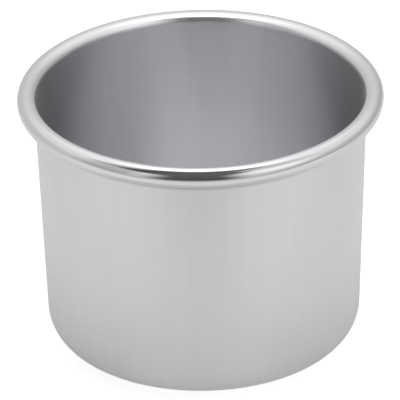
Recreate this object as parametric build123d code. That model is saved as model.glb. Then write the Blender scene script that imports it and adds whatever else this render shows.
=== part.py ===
from build123d import *
from math import acos, cos, degrees, radians, tan
import os

# A round cake tin: one drawn aluminium shell, its rim rolled outward around a ring of steel wire.
# The frame's origin is the centre of the underside of the base, with +Z up the tin's axis
# and the joint of the wire at the back, +Y. Sizes are in millimetres, angles in degrees.

# Sizes of the tin body
mouth_diameter = 100.0    # inside, where the wall runs into the rolled rim
height = 83.2             # from the underside of the base to the top of the rim
sheet = 1.0               # thickness of the drawn sheet
corner_radius = 10.2      # outside, where the wall turns into the base
wall_taper = 2.2          # angle by which the wall leans outward from upright

# Sizes of the rim wire and of the roll that is closed around it
wire_diameter = 4.0
wire_clearance = 0.05     # between the wire and the sheet around it
tuck_gap = 0.15           # between the cut edge of the roll and the wall
wire_end_gap = 1.0        # between the two butted ends of the wire

# The roll in section: two circles about the centre of the wire
roll_inner_radius = wire_diameter / 2 + wire_clearance
roll_outer_radius = roll_inner_radius + sheet
roll_centre_r = mouth_diameter / 2 + roll_outer_radius * cos(radians(wall_taper))
roll_centre_z = height - roll_outer_radius

# The roll leaves the wall at a tangent, goes over the wire, and comes back under it
# until the corner of its cut edge lies the tuck gap away from the wall.
roll_start_angle = 180 - wall_taper
cut_edge_angle = degrees(acos((roll_outer_radius - sheet - tuck_gap) / roll_outer_radius))
roll_sweep = roll_start_angle + 180 - cut_edge_angle

# The bottom corner in section: two circles about the point that lies
# the corner radius inside the wall and the corner radius above the underside.
corner_centre_z = corner_radius
corner_centre_r = (
    roll_centre_r
    - (roll_inner_radius + corner_radius) / cos(radians(wall_taper))
    - (roll_centre_z - corner_centre_z) * tan(radians(wall_taper))
)
corner_sweep = 90 - wall_taper


def tin_body():
    """Base, wall and rolled rim, as one sheet turned about the tin's axis."""
    corner_centre = (corner_centre_r, corner_centre_z)
    roll_centre = (roll_centre_r, roll_centre_z)
    with BuildPart() as body:
        with BuildSketch(Plane.XZ):
            with BuildLine():
                outer_corner = CenterArc(corner_centre, corner_radius, -90, corner_sweep)
                inner_corner = CenterArc(corner_centre, corner_radius - sheet, -90, corner_sweep)
                roll_inside = CenterArc(roll_centre, roll_inner_radius, roll_start_angle, -roll_sweep)
                roll_outside = CenterArc(roll_centre, roll_outer_radius, roll_start_angle, -roll_sweep)
                # Outer face of the wall, cut edge of the roll, inner face of the wall
                Line(outer_corner @ 1, roll_inside @ 0)
                Line(roll_inside @ 1, roll_outside @ 1)
                Line(roll_outside @ 0, inner_corner @ 1)
                # Floor, axis and underside of the base
                Polyline(inner_corner @ 0, (0, sheet), (0, 0), outer_corner @ 0)
            make_face()
        revolve(axis=Axis.Z)
    return body.part


def rim_wire():
    """The wire inside the rolled rim: a ring with its two ends butted at the back."""
    end_gap_angle = degrees(wire_end_gap / roll_centre_r)
    with BuildPart() as wire:
        with BuildSketch(Plane.XZ):
            with Locations((roll_centre_r, roll_centre_z)):
                Circle(wire_diameter / 2)
        revolve(axis=Axis.Z, revolution_arc=360 - end_gap_angle)
    return wire.part.rotate(Axis.Z, 90 + end_gap_angle / 2)


os.makedirs("parts", exist_ok=True)
for node, make in {"tin_body": tin_body, "rim_wire": rim_wire}.items():
    export_step(make(), f"parts/{node}.step")
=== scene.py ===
from math import acos, cos, degrees, hypot, pi, radians, sin, tan

import bpy
from mathutils import Matrix, Vector


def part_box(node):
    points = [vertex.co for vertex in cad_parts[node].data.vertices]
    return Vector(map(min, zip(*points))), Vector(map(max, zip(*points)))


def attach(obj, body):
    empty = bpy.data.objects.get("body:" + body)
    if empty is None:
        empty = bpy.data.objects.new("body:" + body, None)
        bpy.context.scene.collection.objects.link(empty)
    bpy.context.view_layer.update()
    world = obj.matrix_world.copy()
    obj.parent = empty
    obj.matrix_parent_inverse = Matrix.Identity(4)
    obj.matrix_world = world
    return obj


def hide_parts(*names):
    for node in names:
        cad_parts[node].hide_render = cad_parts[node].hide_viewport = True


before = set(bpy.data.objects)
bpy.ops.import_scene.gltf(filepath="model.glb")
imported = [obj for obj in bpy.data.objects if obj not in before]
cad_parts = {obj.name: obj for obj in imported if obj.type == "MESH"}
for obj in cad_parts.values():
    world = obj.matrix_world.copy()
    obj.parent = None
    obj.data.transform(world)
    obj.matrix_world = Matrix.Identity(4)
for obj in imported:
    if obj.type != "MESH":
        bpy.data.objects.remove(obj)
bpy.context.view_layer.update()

MM = 0.001

# Sizes of the tin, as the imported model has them. The rest is read off the frame's boxes.
SHEET = 1.0 * MM
CORNER_RADIUS = 10.2 * MM
WALL_TAPER = radians(2.2)
TUCK_GAP = 0.15 * MM

body_low, body_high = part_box("tin_body")
wire_low, wire_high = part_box("rim_wire")
ROLL_CENTRE_Z = (wire_high.z + wire_low.z) / 2
ROLL_RADIUS = body_high.z - ROLL_CENTRE_Z
ROLL_CENTRE_R = (body_high.x - body_low.x) / 2 - ROLL_RADIUS
CORNER_CENTRE_R = (
    ROLL_CENTRE_R
    - (ROLL_RADIUS - SHEET + CORNER_RADIUS) / cos(WALL_TAPER)
    - (ROLL_CENTRE_Z - CORNER_RADIUS) * tan(WALL_TAPER)
)

# How finely the shell is modelled
SIDES_AROUND = 256
FLOOR_RINGS = 8
CORNER_RINGS = 16
WALL_RINGS = 18
ROLL_RINGS = 48
FLOOR_HUB_RADIUS = 3.0 * MM
MERGE_DISTANCE = 0.001 * MM
CUT_EDGE_ROUNDING = 0.2 * MM
CREASE_ANGLE = radians(35)


# The shell's shape

def arc(centre_r, centre_z, radius, start, end, steps):
    """Points (r, z) along an arc, without its first point. Angles are counted from outward."""
    turns = [start + (end - start) * step / steps for step in range(1, steps + 1)]
    return [(centre_r + radius * cos(turn), centre_z + radius * sin(turn)) for turn in turns]


def straight(start, end, steps):
    """Points (r, z) along a line, without its first point."""
    start_r, start_z = start
    end_r, end_z = end
    shares = [step / steps for step in range(1, steps + 1)]
    return [(start_r + (end_r - start_r) * share, start_z + (end_z - start_z) * share) for share in shares]


def inner_face_line():
    """The inside of the tin in section: along the floor, up the wall and round the roll to its cut edge."""
    hub = (FLOOR_HUB_RADIUS, SHEET)
    floor_edge = (CORNER_CENTRE_R, SHEET)
    line = straight(hub, floor_edge, FLOOR_RINGS)
    line += arc(CORNER_CENTRE_R, CORNER_RADIUS, CORNER_RADIUS - SHEET, -pi / 2, -WALL_TAPER, CORNER_RINGS)
    roll_start = pi - WALL_TAPER
    wall_top = (
        ROLL_CENTRE_R + ROLL_RADIUS * cos(roll_start),
        ROLL_CENTRE_Z + ROLL_RADIUS * sin(roll_start),
    )
    line += straight(line[-1], wall_top, WALL_RINGS)
    roll_end = -pi + acos((ROLL_RADIUS - SHEET - TUCK_GAP) / ROLL_RADIUS)
    line += arc(ROLL_CENTRE_R, ROLL_CENTRE_Z, ROLL_RADIUS, roll_start, roll_end, ROLL_RINGS)
    return line


def make_tin_shell():
    """A disc whose rim is extruded and scaled, ring by ring, along the inside of the tin.

    It is then given the sheet's thickness on its outer side, and its cut edge is rounded.
    """
    bpy.ops.mesh.primitive_circle_add(
        vertices=SIDES_AROUND, radius=FLOOR_HUB_RADIUS, fill_type="TRIFAN", location=(0, 0, SHEET)
    )
    shell = bpy.context.object
    shell.name = "tin_shell"
    bpy.ops.object.transform_apply(location=True, rotation=True, scale=True)
    bpy.ops.object.mode_set(mode="EDIT")
    bpy.ops.mesh.select_mode(type="EDGE")
    bpy.ops.mesh.select_all(action="SELECT")
    bpy.ops.mesh.region_to_loop()
    last_r = FLOOR_HUB_RADIUS
    last_z = SHEET
    for r, z in inner_face_line():
        bpy.ops.mesh.extrude_edges_move(TRANSFORM_OT_translate={"value": (0, 0, z - last_z)})
        ratio = r / last_r
        bpy.ops.transform.resize(value=(ratio, ratio, 1), center_override=(0, 0, 0))
        last_r = r
        last_z = z
    bpy.ops.mesh.select_all(action="SELECT")
    bpy.ops.mesh.remove_doubles(threshold=MERGE_DISTANCE)
    bpy.ops.mesh.normals_make_consistent(inside=False)
    bpy.ops.object.mode_set(mode="OBJECT")
    hub_face = min(shell.data.polygons, key=lambda face: hypot(face.center.x, face.center.y))
    if hub_face.normal.z < 0:
        shell.data.flip_normals()

    sheet = shell.modifiers.new("sheet", "SOLIDIFY")
    sheet.thickness = SHEET
    sheet.offset = -1
    sheet.use_even_offset = True
    bpy.ops.object.modifier_apply(modifier=sheet.name)
    rounding = shell.modifiers.new("cut edge", "BEVEL")
    rounding.width = CUT_EDGE_ROUNDING
    rounding.segments = 2
    rounding.limit_method = "ANGLE"
    rounding.angle_limit = CREASE_ANGLE
    bpy.ops.object.modifier_apply(modifier=rounding.name)
    bpy.ops.object.shade_smooth_by_angle(angle=CREASE_ANGLE)
    return shell


# Materials

class Tree:
    """A material's or the world's node tree, emptied."""

    def __init__(self, owner):
        owner.use_nodes = True
        self.nodes = owner.node_tree.nodes
        self.links = owner.node_tree.links
        self.nodes.clear()

    def node(self, kind, settings=None, values=None, output=0):
        """Adds a node and gives one of its outputs.

        The settings are the node's own. The values are for its inputs: numbers, colours or sockets to link.
        """
        made = self.nodes.new(kind)
        for name, value in (settings or {}).items():
            setattr(made, name, value)
        for name, value in (values or {}).items():
            if isinstance(value, Socket):
                self.links.new(value.output, made.inputs[name])
            else:
                made.inputs[name].default_value = value
        return Socket(self, made.outputs[output]) if made.outputs else None

    def place(self):
        """The object coordinates, which here are metres in the shared frame."""
        return self.node("ShaderNodeTexCoord", output="Object")

    def ray(self, kind):
        """1 for rays of this kind, 0 for others."""
        return self.node("ShaderNodeLightPath", output=kind)

    def noise(self, vector, scale, detail):
        return self.node("ShaderNodeTexNoise", values={"Vector": vector, "Scale": scale, "Detail": detail})

    def vector(self, x, y, z):
        return self.node("ShaderNodeCombineXYZ", values={"X": x, "Y": y, "Z": z})

    def mix(self, factor, first, second):
        """A colour that goes from the first to the second as the factor goes from 0 to 1."""
        values = {"Factor": factor, "A": first, "B": second}
        return self.node("ShaderNodeMix", {"data_type": "RGBA"}, values, "Result")

    def math(self, operation, *values):
        return self.node("ShaderNodeMath", {"operation": operation}, dict(enumerate(values)))


class Socket:
    """An output of a node. A sum written with it adds Math nodes to its tree."""

    def __init__(self, tree, output):
        self.tree = tree
        self.output = output

    def __add__(self, other):
        return self.tree.math("ADD", self, other)

    def __sub__(self, other):
        return self.tree.math("SUBTRACT", self, other)

    def __rsub__(self, other):
        return self.tree.math("SUBTRACT", other, self)

    def __mul__(self, other):
        return self.tree.math("MULTIPLY", self, other)

    def __truediv__(self, other):
        return self.tree.math("DIVIDE", self, other)

    __radd__ = __add__
    __rmul__ = __mul__

    def root(self):
        return self.tree.math("SQRT", self)

    def size(self):
        return self.tree.math("ABSOLUTE", self)

    def ease(self, low, high, low_to=0.0, high_to=1.0):
        """Goes smoothly from low_to to high_to as this value goes from low to high."""
        values = {"Value": self, "From Min": low, "From Max": high, "To Min": low_to, "To Max": high_to}
        return self.tree.node("ShaderNodeMapRange", {"interpolation_type": "SMOOTHSTEP"}, values)

    def fade(self, low, high):
        """Goes smoothly from 1 to 0 as this value goes from low to high."""
        return self.ease(low, high, 1, 0)

    def xyz(self):
        values = {"Vector": self}
        return [self.tree.node("ShaderNodeSeparateXYZ", None, values, axis) for axis in "XYZ"]


def new_material(name):
    material = bpy.data.materials.new(name)
    return material, Tree(material)


# The aluminium's finish: satin on the floor and the wall, burnished where the rim was rolled
SATIN_PALE = (0.910, 0.915, 0.929, 1)
SATIN_DEEP = (0.872, 0.877, 0.890, 1)
ROLLED_COLOUR = (0.890, 0.893, 0.910, 1)
# Painted shade: a dark grey mixed into the wall's colour in the crease under the roll, where the roll shades
# the wall
PAINTED_CREASE_SHADE = (0.50, 0.50, 0.51, 1)
PAINTED_CREASE_SHADE_STRENGTH = 0.85
SATIN_ROUGHNESS = 0.31
SATIN_VARIES = 0.08
ROLLED_ROUGHNESS = 0.12
ROLLED_VARIES = 0.05

# The anisotropy of the turned surface, and the quarter turn that spreads highlights up and down the wall
TURNED_GRAIN = 0.68
ACROSS_THE_GRAIN = 0.25

# The grain: fine grain, streaks up the wall from drawing the sheet, and turning lines round the tin
GRAIN_SCALE = 1600.0
GRAIN_DETAIL = 2.0
GRAIN_SHARE = 0.40
GRAIN_DEPTH = 0.004 * MM
STREAK_SCALE = 22.0
STREAK_DETAIL = 4.0
STREAK_RISE = 1.5
STREAK_SHARE = 0.45
LINE_SCALE = 2200.0
LINE_DETAIL = 2.0
LINE_SHARE = 0.15
SHADE_MIDDLE = 0.5
SHADE_RANGE = (0.3, 0.7)

# Where the finish changes, and where shade is painted in the crease under the roll: distances from the centre
# of the roll's section, straight, outward and upward
BURNISH_FADES = (ROLL_RADIUS + 0.02 * MM, ROLL_RADIUS + 0.15 * MM)
BURNISH_STARTS = (-ROLL_RADIUS, -0.6 * ROLL_RADIUS)
OUTER_FACE_STARTS = (-2.9 * MM, -2.5 * MM)
PAINTED_CREASE_SHADE_STARTS = (-6.0 * MM, -4.4 * MM)


def make_aluminium():
    """Silver anodised sheet. Its grain runs round the tin, so that highlights spread up and down the wall."""
    material, tree = new_material("anodised_aluminium")
    place = tree.place()
    x, y, z = place.xyz()
    radius = (x * x + y * y).root()
    across = radius - ROLL_CENTRE_R
    above = z - ROLL_CENTRE_Z

    # Burnished all round the roll, coming in smoothly from the wall, and painted shade in the crease under
    # it: the wall's colour is darkened there, where the roll shades it
    from_roll = (across * across + above * above).root()
    on_roll = from_roll.fade(*BURNISH_FADES)
    rolled = on_roll * across.ease(*BURNISH_STARTS)
    painted_crease_shade = across.ease(*OUTER_FACE_STARTS) * above.ease(*PAINTED_CREASE_SHADE_STARTS) * (1 - on_roll)

    round_the_tin = tree.vector(x / radius, y / radius, z * STREAK_RISE)
    grain = tree.noise(place, GRAIN_SCALE, GRAIN_DETAIL)
    streaks = tree.noise(round_the_tin, STREAK_SCALE, STREAK_DETAIL)
    lines = tree.noise(tree.vector(radius, z, 0), LINE_SCALE, LINE_DETAIL)
    shade = GRAIN_SHARE * grain + STREAK_SHARE * streaks + LINE_SHARE * lines

    satin = tree.mix(shade.ease(*SHADE_RANGE), SATIN_DEEP, SATIN_PALE)
    bare = tree.mix(rolled, satin, ROLLED_COLOUR)
    satin_roughness = SATIN_ROUGHNESS + SATIN_VARIES * (shade - SHADE_MIDDLE)
    rolled_roughness = ROLLED_ROUGHNESS + ROLLED_VARIES * (lines - SHADE_MIDDLE)
    relief = {"Strength": 1.0, "Distance": GRAIN_DEPTH, "Height": grain * (1 - rolled)}
    values = {
        # The colour is darkened in the crease under the roll: painted shade
        "Base Color": tree.mix(PAINTED_CREASE_SHADE_STRENGTH * painted_crease_shade, bare, PAINTED_CREASE_SHADE),
        "Metallic": 1.0,
        "Roughness": satin_roughness + (rolled_roughness - satin_roughness) * rolled,
        "Anisotropic": TURNED_GRAIN,
        "Anisotropic Rotation": ACROSS_THE_GRAIN,
        "Normal": tree.node("ShaderNodeBump", values=relief),
    }
    shader = tree.node("ShaderNodeBsdfPrincipled", values=values)
    tree.node("ShaderNodeOutputMaterial", values={"Surface": shader})
    return material


ZINC_COLOUR = (0.58, 0.59, 0.6, 1)
ZINC_ROUGHNESS = 0.3
ZINC_VARIES = 0.2
MOTTLE_SCALE = 900.0
MOTTLE_DETAIL = 3.0


def make_zinc_wire():
    """Zinc plated steel wire, with a faint mottle."""
    material, tree = new_material("zinc_plated_wire")
    mottle = tree.noise(tree.place(), MOTTLE_SCALE, MOTTLE_DETAIL)
    values = {"Base Color": ZINC_COLOUR, "Metallic": 1.0, "Roughness": ZINC_ROUGHNESS + ZINC_VARIES * mottle}
    shader = tree.node("ShaderNodeBsdfPrincipled", values=values)
    tree.node("ShaderNodeOutputMaterial", values={"Surface": shader})
    return material


# Studio

WHITE = (1, 1, 1, 1)

# The floor, and the glow it adds to its paint: to the camera, and to reflections in front, behind and beside
FLOOR_SIZE = 1.1
FLOOR_COLOUR = (0.8, 0.8, 0.8, 1)
FLOOR_GLOW_SEEN = 0.72
FLOOR_GLOW_FRONT = 0.285
FLOOR_GLOW_BACK = 0.11
FLOOR_GLOW_SIDES = 0.03
FLOOR_FOOT_DIMMER = 0.4

# Where on the floor its glow changes, in metres from front to back, sideways, or out from the axis
FLOOR_GLOW_STARTS = (-0.32, -0.14)
FLOOR_FRONT_TO_BACK = (-0.15, 0.10)
FLOOR_SIDES_START = (0.02, 0.08)
FOOT_ENDS = (0.05, 0.10)
FOOT_SIDES_START = (0.015, 0.05)

# The lamp above the tin
LAMP_WIDTH = 0.72
LAMP_DEPTH = 0.32
LAMP_FRONT_Y = -0.030
LAMP_HEIGHT = 0.22
LAMP_MIDDLE = 1.55
LAMP_EDGE = 0.89
LAMP_OUTER_DIMMER = 0.14

# Where its light changes, in metres out from the axis, sideways or backward, and how much y counts in that
LAMP_MIDDLE_ENDS = (0.02, 0.085)
LAMP_OUTER_STARTS = (0.10, 0.17)
LAMP_SIDES_FADE = (0.24, 0.36)
LAMP_BACK_FADES = (0.10, 0.28)
LAMP_Y_COUNTS = 0.4

# The room: its walls brighten from the horizon upward, and parts of them are dimmer or brighter
ROOM_LEVEL = 0.8
WALLS_AT_HORIZON = 0.69
WALLS_OVERHEAD = 1.02
RIGHT_LOW_DIMMER = 0.14
RIGHT_HIGH_DIMMER = 0.30
SOFT_BOX_GLOW = 0.38
LEFT_DIMMER = 0.28
LEFT_DIMMER_MORE_HIGH = 0.20
GAP_DARKNESS = 0.86

# Elevations in the room, in degrees
WALLS_RISE = (0, 65)
LOW_ENDS = (8, 22)
HIGH_STARTS = (38, 56)
RIGHT_LOW_TOP = (5, 30)
SOFT_BOX_FOOT = (0, 24)
SOFT_BOX_TOP = (38, 58)
PATCH_STARTS = (62, 78)

# Azimuths in the room, in degrees
RIGHT_STARTS = (30, 60)
RIGHT_LOW_ENDS = (145, 175)
RIGHT_HIGH_ENDS = (95, 130)
SOFT_BOX_STARTS = (20, 45)
SOFT_BOX_ENDS = (55, 88)
LEFT_SHADE_STARTS = (-48, -40)
LEFT_SHADE_REACH = 78
LEFT_SHADE_FURTHER_HIGH = 25
LEFT_SHADE_SOFTNESS = 12
GAP_MIDDLE = -4
GAP_SHIFT_HIGH = -13
GAP_HALF_WIDTH = 23
GAP_WIDER_LOW = 3
GAP_WIDER_HIGH = 35
GAP_SOFTNESS = 10

# How far back and how far aside the dark patch nearly overhead reaches, in a direction of length 1
PATCH_BACK_ENDS = (0.05, 0.2)
PATCH_SIDES_END = (0.2, 0.5)


def make_floor():
    """A plain pale floor with a little light of its own added.

    The camera sees enough of it to make the floor white. Reflections see less: most just in front of the tin,
    less behind it and beside its foot, and none far in front.
    """
    bpy.ops.mesh.primitive_plane_add(size=FLOOR_SIZE)
    floor = bpy.context.object
    floor.name = "studio_floor"
    material, tree = new_material("studio_floor")
    paint = tree.node("ShaderNodeBsdfDiffuse", values={"Color": FLOOR_COLOUR})
    x, y, _ = tree.place().xyz()
    from_axis = (x * x + y * y).root()
    front = y.ease(*FLOOR_FRONT_TO_BACK, FLOOR_GLOW_FRONT, FLOOR_GLOW_BACK)
    sides = FLOOR_GLOW_SIDES * x.size().ease(*FLOOR_SIDES_START)
    foot = from_axis.fade(*FOOT_ENDS) * x.size().ease(*FOOT_SIDES_START)
    reflected = (front + sides) * y.ease(*FLOOR_GLOW_STARTS) * (1 - FLOOR_FOOT_DIMMER * foot)
    strength = tree.ray("Is Camera Ray") * FLOOR_GLOW_SEEN + tree.ray("Is Glossy Ray") * reflected
    glow = tree.node("ShaderNodeEmission", values={"Strength": strength})
    both = tree.node("ShaderNodeAddShader", values={0: paint, 1: glow})
    tree.node("ShaderNodeOutputMaterial", values={"Surface": both})
    floor.data.materials.append(material)


def make_room():
    """White walls with a dark gap toward the camera and a soft box on the right, as the rim mirrors them.

    Directions are an azimuth, 0 toward the camera and positive to the right, and an elevation, in degrees.
    The camera itself sees plain white.
    """
    world = bpy.data.worlds.new("room")
    bpy.context.scene.world = world
    tree = Tree(world)
    x, y, z = tree.node("ShaderNodeTexCoord", output="Generated").xyz()
    azimuth = tree.math("ARCTAN2", x, 0 - y) * degrees(1)
    elevation = tree.math("ARCSINE", z) * degrees(1)
    low = elevation.fade(*LOW_ENDS)
    high = elevation.ease(*HIGH_STARTS)
    walls = elevation.ease(*WALLS_RISE, WALLS_AT_HORIZON, WALLS_OVERHEAD)

    # On the right, a dimmer low wall and ceiling, and a soft box between them
    right_low = azimuth.ease(*RIGHT_STARTS) * azimuth.fade(*RIGHT_LOW_ENDS) * elevation.fade(*RIGHT_LOW_TOP)
    right_high = azimuth.ease(*RIGHT_STARTS) * azimuth.fade(*RIGHT_HIGH_ENDS) * high
    box_height = elevation.ease(*SOFT_BOX_FOOT) * elevation.fade(*SOFT_BOX_TOP)
    soft_box = azimuth.ease(*SOFT_BOX_STARTS) * azimuth.fade(*SOFT_BOX_ENDS) * box_height
    right_dimmer = RIGHT_LOW_DIMMER * right_low + RIGHT_HIGH_DIMMER * right_high
    lit = walls - right_dimmer + SOFT_BOX_GLOW * soft_box

    # On the left, a dimmer stretch of wall, beyond a bright strip beside the gap
    from_far_end = azimuth + LEFT_SHADE_REACH + LEFT_SHADE_FURTHER_HIGH * high
    left_end = from_far_end.ease(-LEFT_SHADE_SOFTNESS, LEFT_SHADE_SOFTNESS)
    left_shade = azimuth.fade(*LEFT_SHADE_STARTS) * left_end
    left_dimmer = (LEFT_DIMMER + LEFT_DIMMER_MORE_HIGH * high) * left_shade

    # The dark gap toward the camera, wider overhead, and a dark patch nearly overhead on the camera's side
    half_width = GAP_HALF_WIDTH + GAP_WIDER_LOW * low + GAP_WIDER_HIGH * high
    from_gap = (azimuth - GAP_MIDDLE - GAP_SHIFT_HIGH * high).size()
    gap = from_gap.fade(half_width - GAP_SOFTNESS, half_width + GAP_SOFTNESS)
    patch = y.fade(*PATCH_BACK_ENDS) * x.size().fade(*PATCH_SIDES_END) * elevation.ease(*PATCH_STARTS)
    dark = tree.math("MAXIMUM", gap, patch)

    light = ROOM_LEVEL * lit * (1 - left_dimmer) * (1 - GAP_DARKNESS * dark)
    seen = tree.ray("Is Camera Ray")
    values = {"Color": WHITE, "Strength": seen + (1 - seen) * light}
    background = tree.node("ShaderNodeBackground", values=values)
    tree.node("ShaderNodeOutputWorld", values={"Surface": background})


def make_overhead_lamp():
    """A soft lamp close above the tin, brightest near its axis.

    It has a straight front edge, just before the axis, and fades out toward its other edges, so that they
    leave no line in the rim.
    """
    bpy.ops.mesh.primitive_plane_add(size=1.0)
    lamp = bpy.context.object
    lamp.name = "overhead_lamp"
    lamp.scale = (LAMP_WIDTH, LAMP_DEPTH, 1)
    lamp.location = (0, LAMP_FRONT_Y + LAMP_DEPTH / 2, LAMP_HEIGHT)
    bpy.ops.object.transform_apply(location=True, rotation=True, scale=True)
    material, tree = new_material("overhead_lamp")
    x, y, _ = tree.place().xyz()
    from_axis = (x * x + LAMP_Y_COUNTS * y * y).root()
    middle = from_axis.ease(*LAMP_MIDDLE_ENDS, LAMP_MIDDLE, LAMP_EDGE)
    strength = middle - LAMP_OUTER_DIMMER * from_axis.ease(*LAMP_OUTER_STARTS)
    cover = x.size().fade(*LAMP_SIDES_FADE) * y.fade(*LAMP_BACK_FADES)
    clear = tree.node("ShaderNodeBsdfTransparent")
    glow = tree.node("ShaderNodeEmission", values={"Strength": strength})
    both = tree.node("ShaderNodeMixShader", values={0: cover, 1: clear, 2: glow})
    tree.node("ShaderNodeOutputMaterial", values={"Surface": both})
    lamp.data.materials.append(material)
    lamp.visible_camera = False


def make_camera():
    """The photograph's view: a long lens from the front, looking 28 degrees down, turned a degree."""
    distance = 2.0
    elevation = radians(28.0)
    focal_pixels = 6490.0
    frame_pixels = 400
    centre_x_pixels = 202.19
    roll = radians(-1.003)
    target = Vector((0, 0, 44.414 * MM))
    data = bpy.data.cameras.new("camera")
    data.sensor_width = 36
    data.lens = focal_pixels / frame_pixels * data.sensor_width
    data.shift_x = -(centre_x_pixels - frame_pixels / 2) / frame_pixels
    data.clip_start = 0.1
    data.clip_end = 20
    camera = bpy.data.objects.new("camera", data)
    bpy.context.scene.collection.objects.link(camera)
    back = Vector((0, -cos(elevation), sin(elevation)))
    camera.location = target + back * distance
    look = (-back).to_track_quat("-Z", "Y").to_matrix()
    camera.rotation_euler = (look @ Matrix.Rotation(roll, 3, "Z")).to_euler()
    bpy.context.scene.camera = camera


bpy.ops.object.select_all(action="DESELECT")
shell = make_tin_shell()
shell.data.materials.append(make_aluminium())
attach(shell, "root")
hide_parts("tin_body")
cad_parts["rim_wire"].material_slots[0].material = make_zinc_wire()

make_floor()
make_room()
make_overhead_lamp()
make_camera()
bpy.context.scene.view_settings.view_transform = "Standard"
